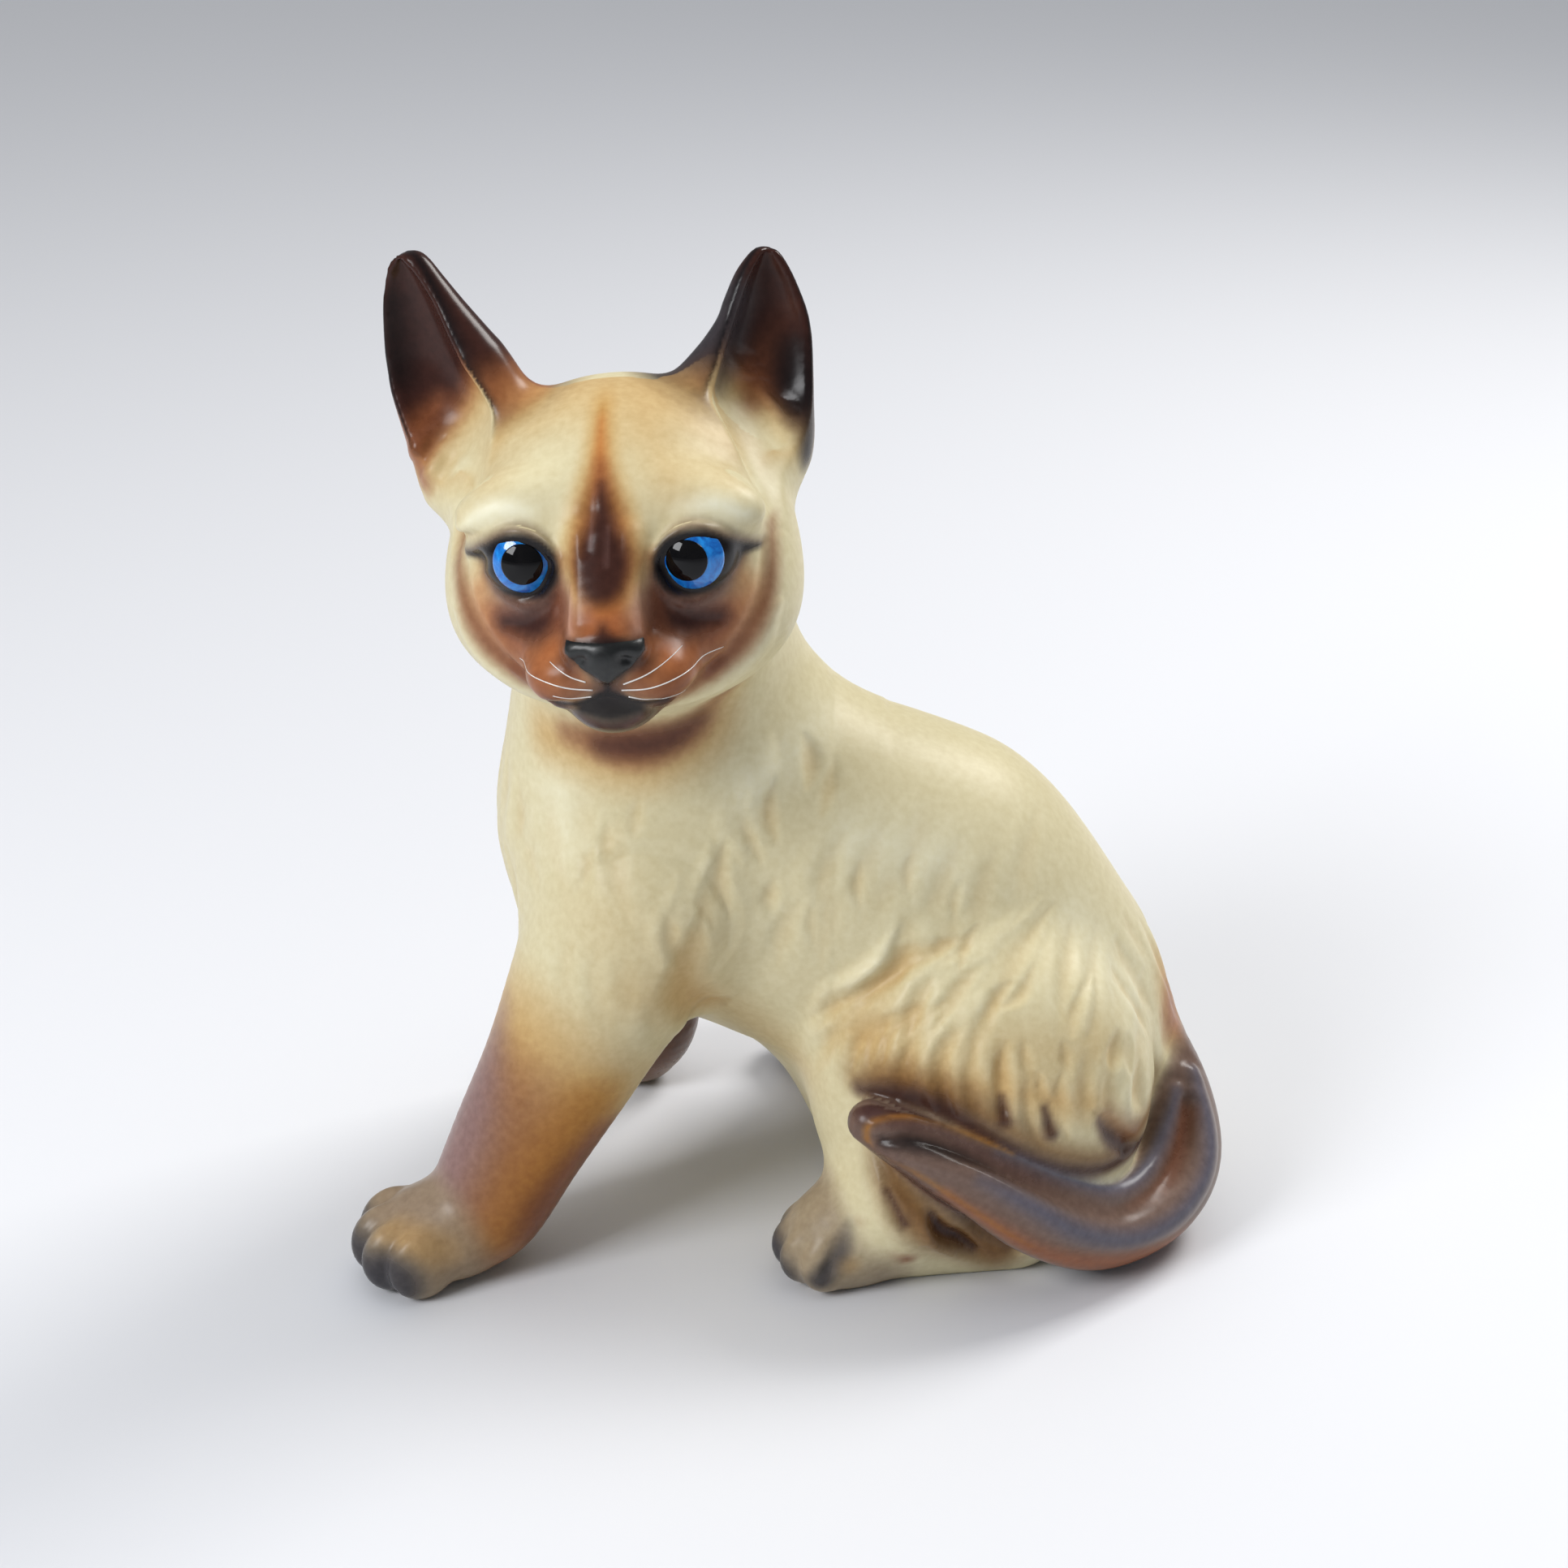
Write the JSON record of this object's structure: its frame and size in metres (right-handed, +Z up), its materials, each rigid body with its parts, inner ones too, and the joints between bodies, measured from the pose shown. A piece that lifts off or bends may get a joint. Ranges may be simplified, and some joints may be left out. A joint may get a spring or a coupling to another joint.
{
  "type": "cat figurine",
  "caption": "Sitting Siamese kitten figurine of hollow cast porcelain, head turned to its left, with painted points, glazed eyes and nose, and fine raised whiskers.",
  "frame": {"origin": "on the surface that the figurine stands on, under the middle of its bounding box", "axes": "+Z up; -X is the way the body points, -Y is the way the turned head looks"},
  "size_m": [0.1234, 0.0834, 0.1399],
  "materials": {
    "bisque": "satin matt",
    "eye_blue": "gloss",
    "black_enamel": "gloss",
    "white_enamel": "gloss"
  },
  "bodies": {
    "root": {"body_casting": "bisque", "head_casting": "bisque", "left_foreleg_casting": "bisque", "right_foreleg_casting": "bisque", "left_eye_enamel": "eye_blue", "right_eye_enamel": "eye_blue", "left_pupil_enamel": "black_enamel", "right_pupil_enamel": "black_enamel", "nose_enamel": "black_enamel", "left_whiskers": "white_enamel", "right_whiskers": "white_enamel"}
  },
  "joints": []
}
